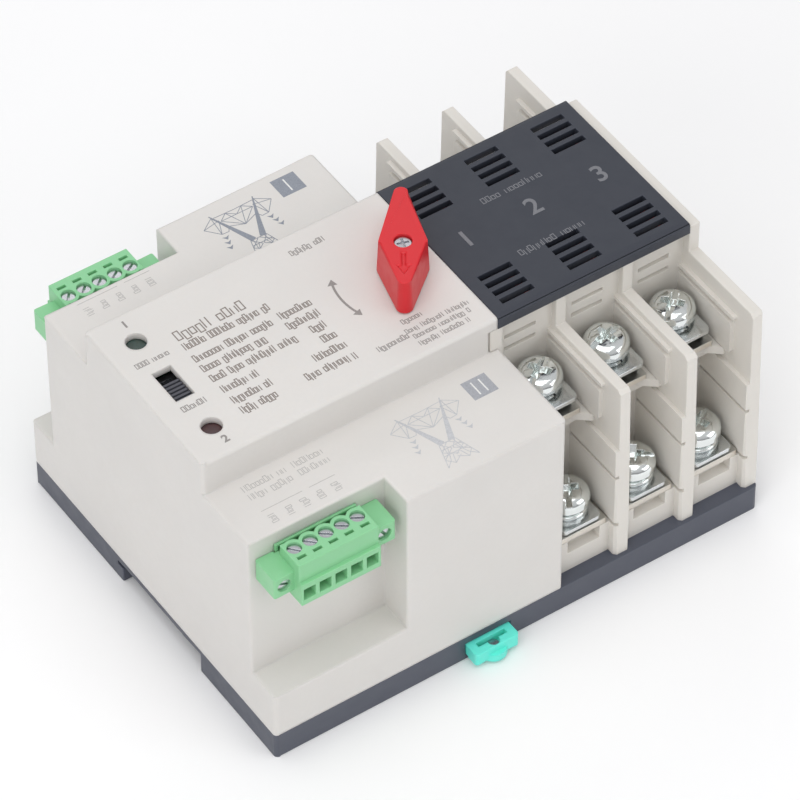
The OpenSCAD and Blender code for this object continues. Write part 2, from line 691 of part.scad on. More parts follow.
module lower_busbar(x) difference() {
    union() {
        slab([x - 8.5, x + 7.8], [lower_wall + 0.5, lower_front], [lower_bus_z, lower_bus_z + lower_bus_t], 0.6);
        slab([x - 6.5, x + 6.5], [fixed_y + tip_t, lower_wall + 2], [lower_bus_z, lower_bus_z + lower_bus_t]);
        slab([x - 4.5, x + 4.5], [fixed_y + tip_t, fixed_y + tip_t + tab_t], [lower_bus_z, 34.5]);
    }
    post(6, x, lower_screw_y, 10, 30);
}

module upper_busbars() color("#d8d6cf") place() both_sides() for (x = pole_xs) upper_busbar(x);
module lower_busbars() color("#d8d6cf") place() both_sides() for (x = pole_xs) lower_busbar(x);

module fixed_tips() color("#d9dadd") place() both_sides()
    for (x = pole_xs, z = contact_z) rod_y(7, x, z, fixed_y, fixed_y + tip_t);

// Height of the clamp plate's underside, the head's underside and the shank's end, and the screw's depth
upper_stack = [60, 63.2, 52, upper_screw_y];
lower_stack = [23, 27.6, 15, lower_screw_y];
plate_t = 1.4;
washer_t = 1.8;
head_d = 13.2;

module clamp_plates() color("#b9bec3") place() both_sides() for (x = pole_xs) {
    clamp_plate(x, [28.2, upper_front - 0.9], upper_stack);
    clamp_plate(x, [39.6, lower_front - 0.4], lower_stack);
    // turned-down sides of the upper plate
    for (side = [x - 5.8, x + 5.8])
        slab([side - 0.7, side + 0.7], [30, upper_front - 2.6], [upper_bus_z + bus_t, upper_stack[0] + eps]);
}

module clamp_plate(x, y, stack) difference() {
    slab([x - 6.5, x + 6.5], y, [stack[0], stack[0] + plate_t], 1.6);
    post(6.6, x, stack[3], stack[0] - 1, stack[0] + 3);
}

module spring_washers() color("#c7cbd0") place() both_sides() for (x = pole_xs, s = [upper_stack, lower_stack])
    translate([x, s[3], s[1] - washer_t]) difference() {
        cylinder(d = 11, h = washer_t);
        translate([0, 0, -1]) cylinder(d = 6.6, h = 4);
        rotate(-70) translate([0, -0.4, -1]) cube([8, 0.8, 4]);
    }

module flat_washers() color("#c7cbd0") place() both_sides() for (x = pole_xs)
    translate([x, lower_stack[3], lower_stack[0] + plate_t]) difference() {
        cylinder(d = 12, h = lower_stack[1] - washer_t - lower_stack[0] - plate_t);
        translate([0, 0, -1]) cylinder(d = 6.6, h = 4);
    }

module terminal_screw(x, stack) translate([x, stack[3], 0]) difference() {
    union() {
        translate([0, 0, stack[1]]) rotate_extrude() polygon(concat([[0, 0], [head_d / 2, 0], [head_d / 2, 1.8]],
            [for (a = [0 : 15 : 90]) [4.6 + 2 * cos(a), 1.8 + 3 * sin(a)]], [[0, 5]]));
        translate([0, 0, stack[2]]) cylinder(d = 6, h = stack[1] - stack[2] + 1);
    }
    rotate(25 + 40 * x) {
        translate([-8, -0.8, stack[1] + 3.2]) cube([16, 1.6, 3]);
        translate([-0.8, -3.4, stack[1] + 2.4]) cube([1.6, 6.8, 4]);
    }
}

module terminal_screws() for (x = pole_xs, s = [upper_stack, lower_stack]) terminal_screw(x, s);

module terminal_screws_a() color("#d4d7da") place() terminal_screws();
module terminal_screws_b() color("#d4d7da") place() mirror([0, 1, 0]) terminal_screws();

base_plate();
rail_latch();
latch_spring();
base_screws();
control_cover();
control_board();
display_board();
board_posts();
relays();
capacitors();
board_terminals();
lamp_a();
lamp_b();
slide_switch();
switch_slider();
header_a();
header_b();
header_pins_a();
header_pins_b();
plug_a();
plug_b();
plug_screws_a();
plug_screws_b();
plug_cages_a();
plug_cages_b();
drive_frame();
coil_a();
coil_b();
bobbin_a();
bobbin_b();
core_stops();
spindle_bush();
knob();
knob_screw();
spindle();
crank_pin();
carriage();
plunger();
bridge_contacts();
bridge_tips();
bridge_springs();
guide_rod();
pole_housing();
arc_cover();
arc_plates();
arc_cheeks();
upper_busbars();
lower_busbars();
fixed_tips();
clamp_plates();
terminal_screws_a();
terminal_screws_b();
spring_washers();
flat_washers();
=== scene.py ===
"""Looks of the transfer switch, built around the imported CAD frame."""
import math
import random

import bmesh
import bpy
from mathutils import Matrix, Vector


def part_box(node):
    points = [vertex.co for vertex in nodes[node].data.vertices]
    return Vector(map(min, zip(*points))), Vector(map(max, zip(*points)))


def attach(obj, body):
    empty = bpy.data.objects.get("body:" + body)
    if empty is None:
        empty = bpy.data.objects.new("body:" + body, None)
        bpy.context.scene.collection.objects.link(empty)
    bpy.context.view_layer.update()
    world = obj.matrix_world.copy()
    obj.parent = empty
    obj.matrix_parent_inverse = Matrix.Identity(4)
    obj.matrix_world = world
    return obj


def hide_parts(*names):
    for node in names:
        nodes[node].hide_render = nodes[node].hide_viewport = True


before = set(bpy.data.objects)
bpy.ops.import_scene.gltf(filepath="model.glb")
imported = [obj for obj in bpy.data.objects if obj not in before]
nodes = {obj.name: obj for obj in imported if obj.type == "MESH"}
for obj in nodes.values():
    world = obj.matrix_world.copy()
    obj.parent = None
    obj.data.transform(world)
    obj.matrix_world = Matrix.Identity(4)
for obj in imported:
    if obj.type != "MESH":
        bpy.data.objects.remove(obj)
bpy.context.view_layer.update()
MM = 0.001


# ---------------------------------------------------------------- meshes

def piece(name, source, material, body, replaces=()):
    """Puts a mesh, or a bmesh that it then frees, into the scene as one piece of the object."""
    if isinstance(source, bmesh.types.BMesh):
        mesh = bpy.data.meshes.new(name)
        source.to_mesh(mesh)
        source.free()
    else:
        mesh = source
    made = bpy.data.objects.new(name, mesh)
    bpy.context.scene.collection.objects.link(made)
    mesh.materials.clear()
    mesh.materials.append(material)
    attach(made, body)
    if replaces:
        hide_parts(*replaces)
    return made


def soften(made):
    """Smooth shading that leaves flat faces flat, without the normals that came with a CAD mesh."""
    if "custom_normal" in made.data.attributes:
        made.data.attributes.remove(made.data.attributes["custom_normal"])
    made.data.shade_smooth()
    made.data.set_sharp_from_angle(angle=math.radians(30))
    weighted = made.modifiers.new("flat_faces", "WEIGHTED_NORMAL")
    weighted.keep_sharp = True
    return made


def clean_copy(node):
    """The mesh of a CAD node, joined up and with its flat faces in one piece."""
    bm = bmesh.new()
    bm.from_mesh(nodes[node].data)
    bmesh.ops.remove_doubles(bm, verts=bm.verts, dist=2e-6)
    bmesh.ops.dissolve_limit(bm, angle_limit=math.radians(0.3), verts=bm.verts, edges=bm.edges)
    return bm


def round_edges(bm, width, chosen):
    """Rounds the sharp outer edges that chosen(middle, direction, length) picks."""
    picked = []
    for edge in bm.edges:
        if not edge.is_manifold or edge.calc_face_angle_signed() < math.radians(35):
            continue
        a, b = (v.co for v in edge.verts)
        if chosen((a + b) / 2, (b - a).normalized(), (b - a).length):
            picked.append(edge)
    bmesh.ops.bevel(bm, geom=picked, offset=width, offset_type="OFFSET", segments=3,
                    profile=0.5, affect="EDGES", clamp_overlap=False)


def rounded_node(name, node, material, body, passes):
    """A piece that stands for a CAD node, with its edges rounded in passes of (width, chosen)."""
    bm = clean_copy(node)
    for width, chosen in passes:
        round_edges(bm, width, chosen)
    return soften(piece(name, bm, material, body, replaces=[node]))


def longer(least):
    """Picks every edge longer than least."""
    return lambda middle, direction, length: length > least


def lathe(bm, outline, segments):
    """Turns an outline of (radius, height), open at both ends on the axis, about the vertical."""
    rings = []
    for radius, height in outline:
        if radius < 1e-9:
            rings.append([bm.verts.new((0, 0, height))])
            continue
        turns = [2 * math.pi * i / segments for i in range(segments)]
        rings.append([bm.verts.new((radius * math.cos(a), radius * math.sin(a), height)) for a in turns])
    for low, high in zip(rings, rings[1:]):
        for i in range(segments):
            j = (i + 1) % segments
            corners = [low[i % len(low)], low[j % len(low)], high[j % len(high)], high[i % len(high)]]
            bm.faces.new(list(dict.fromkeys(corners)))
    return bm


def arc(centre, radius, start, end, steps):
    """Points of an arc in degrees, as (radius, height) pairs of an outline."""
    angles = [math.radians(start + (end - start) * i / steps) for i in range(steps + 1)]
    return [(centre[0] + radius * math.cos(a), centre[1] + radius * math.sin(a)) for a in angles]


def box(bm, low, high):
    """Adds a box between two corners and gives its vertices."""
    middle = (Vector(low) + Vector(high)) / 2
    size = Vector(high) - Vector(low)
    place = Matrix.Translation(middle) @ Matrix.Diagonal((*size, 1))
    made = bmesh.ops.create_cube(bm, size=1, matrix=place)
    return made["verts"]


def carve(bm, cutter):
    """Takes the cutter's solid away from bm. Both are used up; the result is a new bmesh."""
    objects = []
    for part in (bm, cutter):
        mesh = bpy.data.meshes.new("carving")
        bmesh.ops.recalc_face_normals(part, faces=part.faces)
        part.to_mesh(mesh)
        part.free()
        made = bpy.data.objects.new("carving", mesh)
        bpy.context.scene.collection.objects.link(made)
        objects.append(made)
    body, tool = objects
    cut = body.modifiers.new("cut", "BOOLEAN")
    cut.object = tool
    cut.solver = "EXACT"
    cut.use_self = True
    result = bmesh.new()
    result.from_object(body, bpy.context.evaluated_depsgraph_get())
    for made in objects:
        mesh = made.data
        bpy.data.objects.remove(made)
        bpy.data.meshes.remove(mesh)
    return result


# ---------------------------------------------------------------- materials

class Nodes:
    """A small helper for building a material's nodes by name."""

    def __init__(self, name):
        self.material = bpy.data.materials.new(name)
        self.material.use_nodes = True
        self.tree = self.material.node_tree
        self.shader = self.tree.nodes["Principled BSDF"]
        self.where = self.add("ShaderNodeTexCoord").outputs["Object"]

    def add(self, kind, values=None, links=None):
        """A node with values set on its sockets or settings, and links made to its sockets."""
        made = self.tree.nodes.new(kind)
        for key, value in (values or {}).items():
            if key in made.inputs:
                made.inputs[key].default_value = value
            else:
                setattr(made, key, value)
        for key, source in (links or {}).items():
            self.tree.links.new(source, made.inputs[key])
        return made

    def noise(self, size, detail=2, stretch=None):
        """Noise whose features are about size metres across, from 0 to 1."""
        where = self.where
        if stretch:
            where = self.add("ShaderNodeMapping", {"Scale": stretch}, {"Vector": where}).outputs["Vector"]
        made = self.add("ShaderNodeTexNoise", {"Scale": 1 / size, "Detail": detail}, {"Vector": where})
        return made.outputs["Fac"]

    def between(self, source, low, high, start=0.3, end=0.7):
        """Maps source from start..end to low..high."""
        limits = {"From Min": start, "From Max": end, "To Min": low, "To Max": high}
        return self.add("ShaderNodeMapRange", limits, {"Value": source}).outputs["Result"]

    def mix(self, share, first, second):
        """Mixes two colours by a share."""
        made = self.add("ShaderNodeMix", {"data_type": "RGBA"})
        for socket, value in ((made.inputs[0], share), (made.inputs[6], first), (made.inputs[7], second)):
            if isinstance(value, bpy.types.NodeSocket):
                self.tree.links.new(value, socket)
            else:
                socket.default_value = value if isinstance(value, float) else (*value[:3], 1)
        return made.outputs[2]

    def set(self, **values):
        """Sets the shader's own sockets, by names with _ for spaces."""
        for key, value in values.items():
            socket = self.shader.inputs[key.replace("_", " ")]
            if isinstance(value, bpy.types.NodeSocket):
                self.tree.links.new(value, socket)
            else:
                socket.default_value = value

    def edges(self, radius):
        """The normal of softly rounded edges, and a mask that is 1 on those edges."""
        bevel = self.add("ShaderNodeBevel", {"Radius": radius, "samples": 4}).outputs["Normal"]
        flat = self.add("ShaderNodeNewGeometry").outputs["Normal"]
        both = self.add("ShaderNodeVectorMath", {"operation": "DOT_PRODUCT"}, {0: bevel, 1: flat})
        return bevel, self.between(both.outputs["Value"], 1, 0, 0.85, 0.998)

    def bump(self, height, depth, normal=None):
        """Gives the surface a relief of depth metres, on top of a normal if there is one."""
        links = {"Height": height}
        if normal:
            links["Normal"] = normal
        relief = self.add("ShaderNodeBump", {"Strength": 1, "Distance": depth}, links).outputs["Normal"]
        self.set(Normal=relief)
        return relief


def shade(color, factor):
    """A lighter or darker version of a colour."""
    return [min(1.0, c * factor) for c in color[:3]]


def plastic(name, color, roughness, edge=0.35 * MM, edge_highlight=1.12, subsurface=0.0):
    """Moulded plastic: fine spark-eroded grain, slight mottling, and softly rounded edges that catch the
    light, with a painted highlight that lightens their colour.
    """
    n = Nodes(name)
    bevel, rim = n.edges(edge)
    patches = n.between(n.noise(30 * MM, 3), 0.0, 1.0)
    specks = n.between(n.noise(1.2 * MM, 4), 0.0, 1.0)
    base = n.mix(patches, shade(color, 0.975), shade(color, 1.02))
    base = n.mix(n.between(specks, 0.0, 0.35, 0.0, 1.0), base, shade(color, 0.96))
    # painted highlight: the colour along the rounded edges is lightened, standing in for light caught there
    base = n.mix(n.between(rim, 0.0, 0.85, 0.0, 1.0), base, shade(color, edge_highlight))
    n.set(Base_Color=base)
    n.set(Roughness=n.between(n.noise(4 * MM, 3), roughness - 0.05, roughness + 0.05))
    n.set(Subsurface_Weight=subsurface, Subsurface_Scale=0.8 * MM, Subsurface_Radius=(1.0, 0.75, 0.55))
    n.bump(n.noise(0.35 * MM, 3), 0.006 * MM, bevel)
    return n.material


def metal(name, color, roughness, brushed=None, ends=None, grime=0.25, waves=0.0):
    """Metal with cloudy plating, fine scratches and a painted highlight that brightens the colour of its
    edges.

    ends is the colour of faces cut across Y; waves is the height of slow unevenness of the surface."""
    n = Nodes(name)
    bevel, rim = n.edges(0.2 * MM)
    clouds = n.between(n.noise(3 * MM, 3), 0.0, 1.0)
    base = n.mix(clouds, shade(color, 0.95), shade(color, 1.04))
    if ends:
        coordinates = n.tree.nodes["Texture Coordinate"]
        facing = n.add("ShaderNodeSeparateXYZ", {}, {"Vector": coordinates.outputs["Normal"]})
        across = n.add("ShaderNodeMath", {"operation": "ABSOLUTE"}, {0: facing.outputs["Y"]}).outputs["Value"]
        base = n.mix(n.between(across, 0.0, 1.0, 0.8, 0.95), base, ends)
    base = n.mix(n.between(n.noise(0.7 * MM, 4), 0.0, grime, 0.55, 0.75), base, shade(color, 0.7))
    # painted highlight: the colour along the edges is brightened, standing in for light caught there
    base = n.mix(rim, base, shade(color, 1.12))
    n.set(Base_Color=base, Metallic=1.0)
    n.set(Roughness=n.between(n.noise(2 * MM, 3), roughness * 0.8, roughness * 1.25))
    scratches = n.bump(n.noise(0.5 * MM, 3, brushed), 0.002 * MM, bevel)
    if waves:
        n.bump(n.noise(2.2 * MM, 1), waves, scratches)
    return n.material


def ink(name, color):
    """Screen print: thin, matte, and a little broken up."""
    n = Nodes(name)
    base = n.mix(n.between(n.noise(0.4 * MM, 4), 0.0, 1.0), color, shade(color, 1.25))
    n.set(Base_Color=base, Roughness=n.between(n.noise(0.6 * MM, 2), 0.5, 0.7))
    n.bump(n.noise(0.3 * MM, 2), 0.002 * MM)
    return n.material


# ---------------------------------------------------------------- places

# Drawing places are in millimetres: x from the control end, y from the centre plane, z from the underside.
origin = Vector((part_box("control_cover")[0].x, 0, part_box("base_plate")[0].z))
side_y = 61.6  # the cover's sides
block_y = 29.3  # the sides of its raised middle
shoulder_z = 76.7
top_z = 88.5
knob_z = 100.2
recess = {"wall": 50.6, "end": 43.3, "floor": 25}  # y, x and z of a connector recess
knob_axis = (84, 0)
pole_xs = (104.95, 127.3, 149.65)
ways = [21.15 + 5 * (i - 2) for i in range(5)]


def at(x, y, z):
    """The scene's point for a drawing place."""
    return origin + Vector((x, y, z)) * MM


def spot(v):
    """The drawing place of a point, with y counted outwards from the centre plane."""
    p = (v - origin) / MM
    return p.x, abs(p.y), p.z


def near(value, *targets):
    """True within 0.3 mm of one of the targets."""
    return any(abs(value - t) < 0.3 for t in targets)


# ---------------------------------------------------------------- finishes

def srgb(r, g, b):
    """A colour from its display values, 0 to 255."""
    return [(c / 255 / 12.92 if c <= 10 else ((c / 255 + 0.055) / 1.055) ** 2.4) for c in (r, g, b)]


# in these plastics, the edge colour factor is a painted highlight: how much lighter the edges are coloured
cover_look = plastic("cover_plastic", srgb(219, 216, 212), roughness=0.42, edge=1.2 * MM, edge_highlight=1.2,
                     subsurface=0.06)
pole_look = plastic("pole_plastic", srgb(222, 218, 211), roughness=0.46, edge=0.22 * MM, edge_highlight=1.18,
                    subsurface=0.06)
slate_look = plastic("slate_plastic", srgb(76, 80, 92), roughness=0.42, edge_highlight=1.5)
cap_look = plastic("cap_plastic", srgb(50, 54, 64), roughness=0.5, edge_highlight=2.2)
knob_look = plastic("knob_plastic", srgb(214, 30, 40), roughness=0.38, edge_highlight=1.35, subsurface=0.08)
latch_look = plastic("latch_plastic", srgb(104, 240, 222), roughness=0.38, edge_highlight=1.12, subsurface=0.12)
green_look = plastic("connector_plastic", srgb(140, 206, 154), roughness=0.4, edge_highlight=1.22, subsurface=0.12)
dark_look = plastic("dark_plastic", srgb(76, 77, 85), roughness=0.5, edge_highlight=1.15)
white_look = plastic("white_plastic", srgb(228, 225, 214), roughness=0.45)
relay_look = plastic("relay_plastic", srgb(44, 92, 164), roughness=0.35)
sleeve_look = plastic("sleeve_plastic", srgb(40, 43, 52), roughness=0.3)
fibre_look = plastic("fibre", srgb(168, 74, 58), roughness=0.7)

zinc_look = metal("zinc", srgb(206, 208, 212), roughness=0.2)
bright_look = metal("bright_zinc", srgb(236, 240, 239), roughness=0.12, grime=0.12, waves=0.1 * MM)
plate_look = metal("clamp_zinc", srgb(220, 223, 224), roughness=0.2, grime=0.04, waves=0.08 * MM)
spring_look = metal("spring_steel", srgb(168, 170, 176), roughness=0.28)
iron_look = metal("iron", srgb(140, 141, 146), roughness=0.42, grime=0.4)
tin_look = metal("tinned_copper", srgb(205, 203, 197), roughness=0.34, ends=srgb(226, 220, 210),
                 waves=0.03 * MM)
silver_look = metal("silver", srgb(214, 214, 216), roughness=0.3)
copper_look = metal("copper", srgb(190, 116, 74), roughness=0.3, brushed=(1, 1, 12))
brass_look = metal("brass", srgb(196, 160, 84), roughness=0.3)


def board(name, color):
    """Solder mask with copper tracks showing through it."""
    n = Nodes(name)
    tracks = n.add("ShaderNodeTexBrick", {"Scale": 240, "Mortar Size": 0.03, "Bias": -0.4},
                   {"Vector": n.where})
    base = n.mix(n.between(tracks.outputs["Fac"], 0.0, 1.0, 0.0, 1.0), color, shade(color, 1.6))
    n.set(Base_Color=base, Roughness=n.between(n.noise(3 * MM), 0.25, 0.4), Coat_Weight=0.4)
    n.bump(n.noise(0.6 * MM, 3), 0.008 * MM)
    return n.material


def lens(name, color):
    """Diffusing lamp lens, unlit."""
    n = Nodes(name)
    depth = n.between(n.noise(0.8 * MM, 3), 0.0, 1.0)
    n.set(Base_Color=n.mix(depth, color, shade(color, 1.3)), Roughness=0.2, Subsurface_Weight=0.2)
    n.set(Subsurface_Scale=1.5 * MM, Coat_Weight=0.6, Coat_Roughness=0.05)
    n.bump(n.noise(0.9 * MM, 2), 0.008 * MM)
    return n.material


board_look = board("board", srgb(24, 92, 58))
green_lamp = lens("lamp_green", srgb(63, 78, 73))
red_lamp = lens("lamp_red", srgb(77, 54, 56))

grey_ink = ink("grey_ink", srgb(138, 134, 131))
warm_ink = ink("warm_ink", srgb(124, 115, 109))
blue_ink = ink("blue_ink", srgb(133, 138, 147))
violet_ink = ink("violet_ink", srgb(157, 159, 165))
faint_ink = ink("faint_ink", srgb(182, 183, 186))
light_ink = ink("light_ink", srgb(172, 170, 168))
pale_ink = ink("pale_ink", srgb(218, 218, 216))
dim_ink = ink("dim_ink", srgb(112, 113, 118))

finishes = {
    "base_screws": zinc_look, "latch_spring": spring_look,
    "control_board": board_look, "display_board": board_look, "board_posts": brass_look,
    "relays": relay_look, "capacitors": sleeve_look, "board_terminals": white_look,
    "lamp_a": green_lamp, "lamp_b": red_lamp,
    "slide_switch": zinc_look, "switch_slider": dark_look,
    "header_pins_a": zinc_look, "header_pins_b": zinc_look,
    "plug_screws_a": zinc_look, "plug_screws_b": zinc_look,
    "plug_cages_a": zinc_look, "plug_cages_b": zinc_look,
    "drive_frame": iron_look, "core_stops": iron_look, "plunger": iron_look,
    "coil_a": copper_look, "coil_b": copper_look, "bobbin_a": white_look, "bobbin_b": white_look,
    "spindle_bush": brass_look, "knob_screw": zinc_look, "spindle": spring_look, "crank_pin": spring_look,
    "carriage": dark_look, "guide_rod": spring_look,
    "bridge_contacts": copper_look, "bridge_tips": silver_look, "bridge_springs": spring_look,
    "arc_plates": iron_look, "arc_cheeks": fibre_look, "fixed_tips": silver_look,
}
for node, look in finishes.items():
    nodes[node].data.materials.clear()
    nodes[node].data.materials.append(look)


# ---------------------------------------------------------------- mouldings

def cover_rim(middle, direction, length):
    """The broad roundings around the cover's outside."""
    x, y, z = spot(middle)
    end_face = x < 0.5
    top_rim = near(z, top_z) and (y > block_y - 0.3 or end_face)
    shoulder_rim = near(z, shoulder_z) and (y > side_y - 0.6 or end_face)
    corners = end_face and abs(direction.z) > 0.9 and near(y, block_y, side_y)
    return length > 2.5 * MM and (top_rim or shoulder_rim or corners)


def recess_rim(middle, direction, length):
    """The mouth of the connector recesses."""
    x, y, z = spot(middle)
    mouth = near(z, shoulder_z) and x < recess["end"] + 0.5 and near(y, recess["wall"])
    far_edge = near(z, shoulder_z) and near(x, recess["end"]) and y > recess["wall"]
    uprights = abs(direction.z) > 0.9 and ((near(x, 0) and near(y, recess["wall"]))
                                           or (near(x, recess["end"]) and near(y, side_y)))
    floor = near(z, recess["floor"]) and (near(y, side_y) or near(x, 0))
    return length > 2.5 * MM and (mouth or far_edge or uprights or floor)


def away_from_knob_hole(middle, direction, length):
    """The knob's upper rim, clear of the hole for its screw."""
    x, y, z = spot(middle)
    out = math.hypot(x - knob_axis[0], y - knob_axis[1])
    return near(z, knob_z) and out > 3.2 and length > 0.5 * MM


def cap_rim(middle, direction, length):
    """The long edges of the cap, and the somewhat shorter ones of its top."""
    return length > 15 * MM or (spot(middle)[2] > top_z - 0.5 and length > 12 * MM)


def barrier_rim(middle, direction, length):
    """The free edges of the barriers and the end plate: their tops, and their outer ends above the step."""
    x, y, z = spot(middle)
    outer_end = y > 57.8 and z > 50.6 and abs(direction.x) < 0.5
    return length > 3 * MM and x > 112 and (z > 72 or outer_end)


def latch_rim(middle, direction, length):
    """The outer edges of the latch, clear of its screwdriver slot."""
    x, y, z = spot(middle)
    return length > 1.5 * MM and not (62.3 < y < 66.3 and 64.9 < x < 74.7 and z > 1.7)


rounded_node("cover", "control_cover", cover_look, "housing",
             [(1.0 * MM, cover_rim), (0.6 * MM, recess_rim)])
rounded_node("poles", "pole_housing", pole_look, "housing", [(0.35 * MM, barrier_rim)])
rounded_node("cap", "arc_cover", cap_look, "housing",
             [(0.5 * MM, cap_rim), (0.15 * MM, longer(1.2 * MM))])
rounded_node("tray", "base_plate", slate_look, "housing", [(0.5 * MM, longer(4 * MM))])
rounded_node("selector_knob", "knob", knob_look, "selector",
             [(0.8 * MM, away_from_knob_hole), (0.15 * MM, longer(0.3 * MM))])

# the latch, with its screwdriver slot cut deep enough to show the spring's peg
slot = bmesh.new()
box(slot, at(65, -64.2, 2.6), at(74.6, -62.6, 7))
tongue = carve(clean_copy("rail_latch"), slot)
bmesh.ops.remove_doubles(tongue, verts=tongue.verts, dist=2e-6)
round_edges(tongue, 0.4 * MM, latch_rim)
soften(piece("latch_tongue", tongue, latch_look, "latch", replaces=["rail_latch"]))

for side in "ab":
    rounded_node(f"plug_body_{side}", f"plug_{side}", green_look, f"plug_{side}",
                 [(0.2 * MM, longer(1.0 * MM))])
    rounded_node(f"header_body_{side}", f"header_{side}", green_look, "housing",
                 [(0.2 * MM, longer(2 * MM))])
rounded_node("clamps", "clamp_plates", plate_look, "housing", [(0.25 * MM, longer(0.3 * MM))])
for level in ("upper", "lower"):
    rounded_node(f"{level}_bars", f"{level}_busbars", tin_look, "housing",
                 [(0.2 * MM, longer(1 * MM))])


# ---------------------------------------------------------------- terminal screws

def turned(degrees, size=3):
    """A rotation about the vertical."""
    return Matrix.Rotation(math.radians(degrees), size, "Z")


def screw_form():
    """A pan-head screw with a slot and a flared cross in it, its head's underside at height 0."""
    head, shank, tip, chamfer = 6.6 * MM, 3 * MM, -11 * MM, 0.4 * MM
    crown = arc((3.7 * MM, 1.7 * MM), 2.9 * MM, 0, 78, 10)
    outline = [(0, tip), (shank - chamfer, tip), (shank, tip + chamfer), (shank, 0), (head - chamfer, 0),
               (head, chamfer)] + crown + [(2.4 * MM, 4.75 * MM), (0, 4.9 * MM)]
    bm = lathe(bmesh.new(), outline, 72)
    tool = bmesh.new()
    slot_half, slot_floor = 0.85 * MM, 3 * MM
    box(tool, (-8 * MM, -slot_half, slot_floor), (8 * MM, slot_half, 6 * MM))
    for turn in (0, 90):
        wings = box(tool, (-4 * MM, -1.35 * MM, 1.5 * MM), (4 * MM, 1.35 * MM, 5.5 * MM))
        for v in wings:
            if v.co.z < 2 * MM:
                v.co.x *= 0.35
                v.co.y *= 0.45
        bmesh.ops.rotate(tool, cent=(0, 0, 0), matrix=turned(turn), verts=wings)
    return carve(bm, tool)


def ring_form(inner, outer, low, high, split):
    """A washer with rounded edges; a split one has a slanted gap in it."""
    r = (high - low) * 0.5
    upper = arc((outer - r, high - r), r, 90, 0, 4)
    lower = arc((outer - r, low + r), r, 0, -90, 4)
    outline = [(inner, high)] + upper + lower + [(inner, low), (inner, high)]
    bm = lathe(bmesh.new(), outline, 64)
    bmesh.ops.remove_doubles(bm, verts=bm.verts, dist=1e-6)
    if not split:
        return bm
    tool = bmesh.new()
    gap_half, slant = 0.35 * MM, 0.5
    corners = box(tool, (0, -gap_half, low - 1 * MM), (8 * MM, gap_half, high + 1 * MM))
    for v in corners:
        v.co.y += slant * (v.co.z - (low + high) / 2)
    bmesh.ops.rotate(tool, cent=(0, 0, 0), matrix=turned(-70), verts=corners)
    return carve(bm, tool)


def copies(form, places):
    """One bmesh with a copy of form at each place, given as a matrix."""
    mesh = bpy.data.meshes.new("form")
    form.to_mesh(mesh)
    form.free()
    bm = bmesh.new()
    for place in places:
        before = len(bm.verts)
        bm.from_mesh(mesh)
        bm.verts.ensure_lookup_table()
        bmesh.ops.transform(bm, matrix=place, verts=bm.verts[before:])
    return bm


# (distance from the centre plane, height of the head's underside, slot angle at each pole)
screw_rows = {"b": ((35, 63.2, (32, 12, 40)), (48.8, 27.6, (62, -35, 20))),
              "a": ((35, 63.2, (50, 5, -25)), (48.8, 27.6, (70, 24, -40)))}
for side, sign in (("b", -1), ("a", 1)):
    places = [Matrix.Translation(at(x, sign * y, z)) @ turned(turn, 4)
              for y, z, turns in screw_rows[side] for x, turn in zip(pole_xs, turns)]
    soften(piece(f"screws_{side}", copies(screw_form(), places), bright_look, "housing",
                 replaces=[f"terminal_screws_{side}"]))

ring_bore = 3.3
# (name, node, split, outer radius, rows of (distance from the centre plane, underside, upper side))
for name, node, split, outer, rows in (
        ("split_rings", "spring_washers", True, 5.4, ((35, 61.5, 63.0), (48.8, 25.9, 27.4))),
        ("plain_rings", "flat_washers", False, 5.9, ((48.8, 24.4, 25.8),))):
    form = bmesh.new()
    for y, low, high in rows:
        spots = [Matrix.Translation(at(x, sign * y, 0)) for x in pole_xs for sign in (-1, 1)]
        ring = copies(ring_form(ring_bore * MM, outer * MM, low * MM, high * MM, split), spots)
        mesh = bpy.data.meshes.new("ring")
        ring.to_mesh(mesh)
        ring.free()
        form.from_mesh(mesh)
    soften(piece(name, form, bright_look, "housing", replaces=[node]))


# ---------------------------------------------------------------- prints

def stamp(bm, points, z, proud=0.03):
    """A printed shape: a thin prism on a surface at height z. Points are drawing places (x, y), in order."""
    low, high = ([bm.verts.new(at(x, y, z + rise)) for x, y in points] for rise in (-0.04, proud))
    bm.faces.new(high)
    bm.faces.new(low[::-1])
    for i in range(len(points)):
        j = (i + 1) % len(points)
        bm.faces.new((low[i], low[j], high[j], high[i]))


def stroke(bm, start, end, width, z, proud=0.03, tip=None):
    """A line; tip is its width at the end. Each one is a little higher, so that crossings stay clean."""
    along = Vector(end) - Vector(start)
    across = Vector((-along.y, along.x)).normalized() / 2
    a, b = Vector(start), Vector(end)
    wide, thin = across * width, across * (width if tip is None else tip)
    stamp(bm, [a - wide, b - thin, b + thin, a + wide], z, proud + len(bm.verts) % 97 * 0.0002)


dice = random.Random(4)


def words(bm, start, length, size, z, spread, turn=0, weight=0.12):
    """A line of small boxes and bars that stands for print and spells nothing.

    size is the tallest mark; spread is the marks' distance and weight their line width, as shares of it."""
    facing = Matrix.Rotation(math.radians(turn), 2)
    pitch = size * spread
    count = max(2, round(length / pitch))
    left = 0 if count > 9 else count
    for i in range(count):
        first = left == 0
        if first:
            left = dice.randint(4, 8)
            if i > 0:
                continue
        left -= 1
        low, high = (0, 1) if first or i == 0 else dice.choice(((0, 0.72), (0, 0.72), (0, 1), (-0.22, 0.72)))
        a, b = i * pitch, (i + 0.66) * pitch
        lines = [((a, low), (a, high)), ((b, low), (b, high))]
        if dice.random() < 0.65:
            lines += [((a, bar), (b, bar)) for bar in (low + weight / 2, high - weight / 2)]
        for (x0, y0), (x1, y1) in lines:
            ends = [Vector(start) + facing @ Vector((x, y * size)) for x, y in ((x0, y0), (x1, y1))]
            if (ends[1] - ends[0]).length > 0.01:
                stroke(bm, *ends, weight * size, z)


def printed(name, form, look):
    """A print on the housing."""
    return piece(name, form, look, "housing")


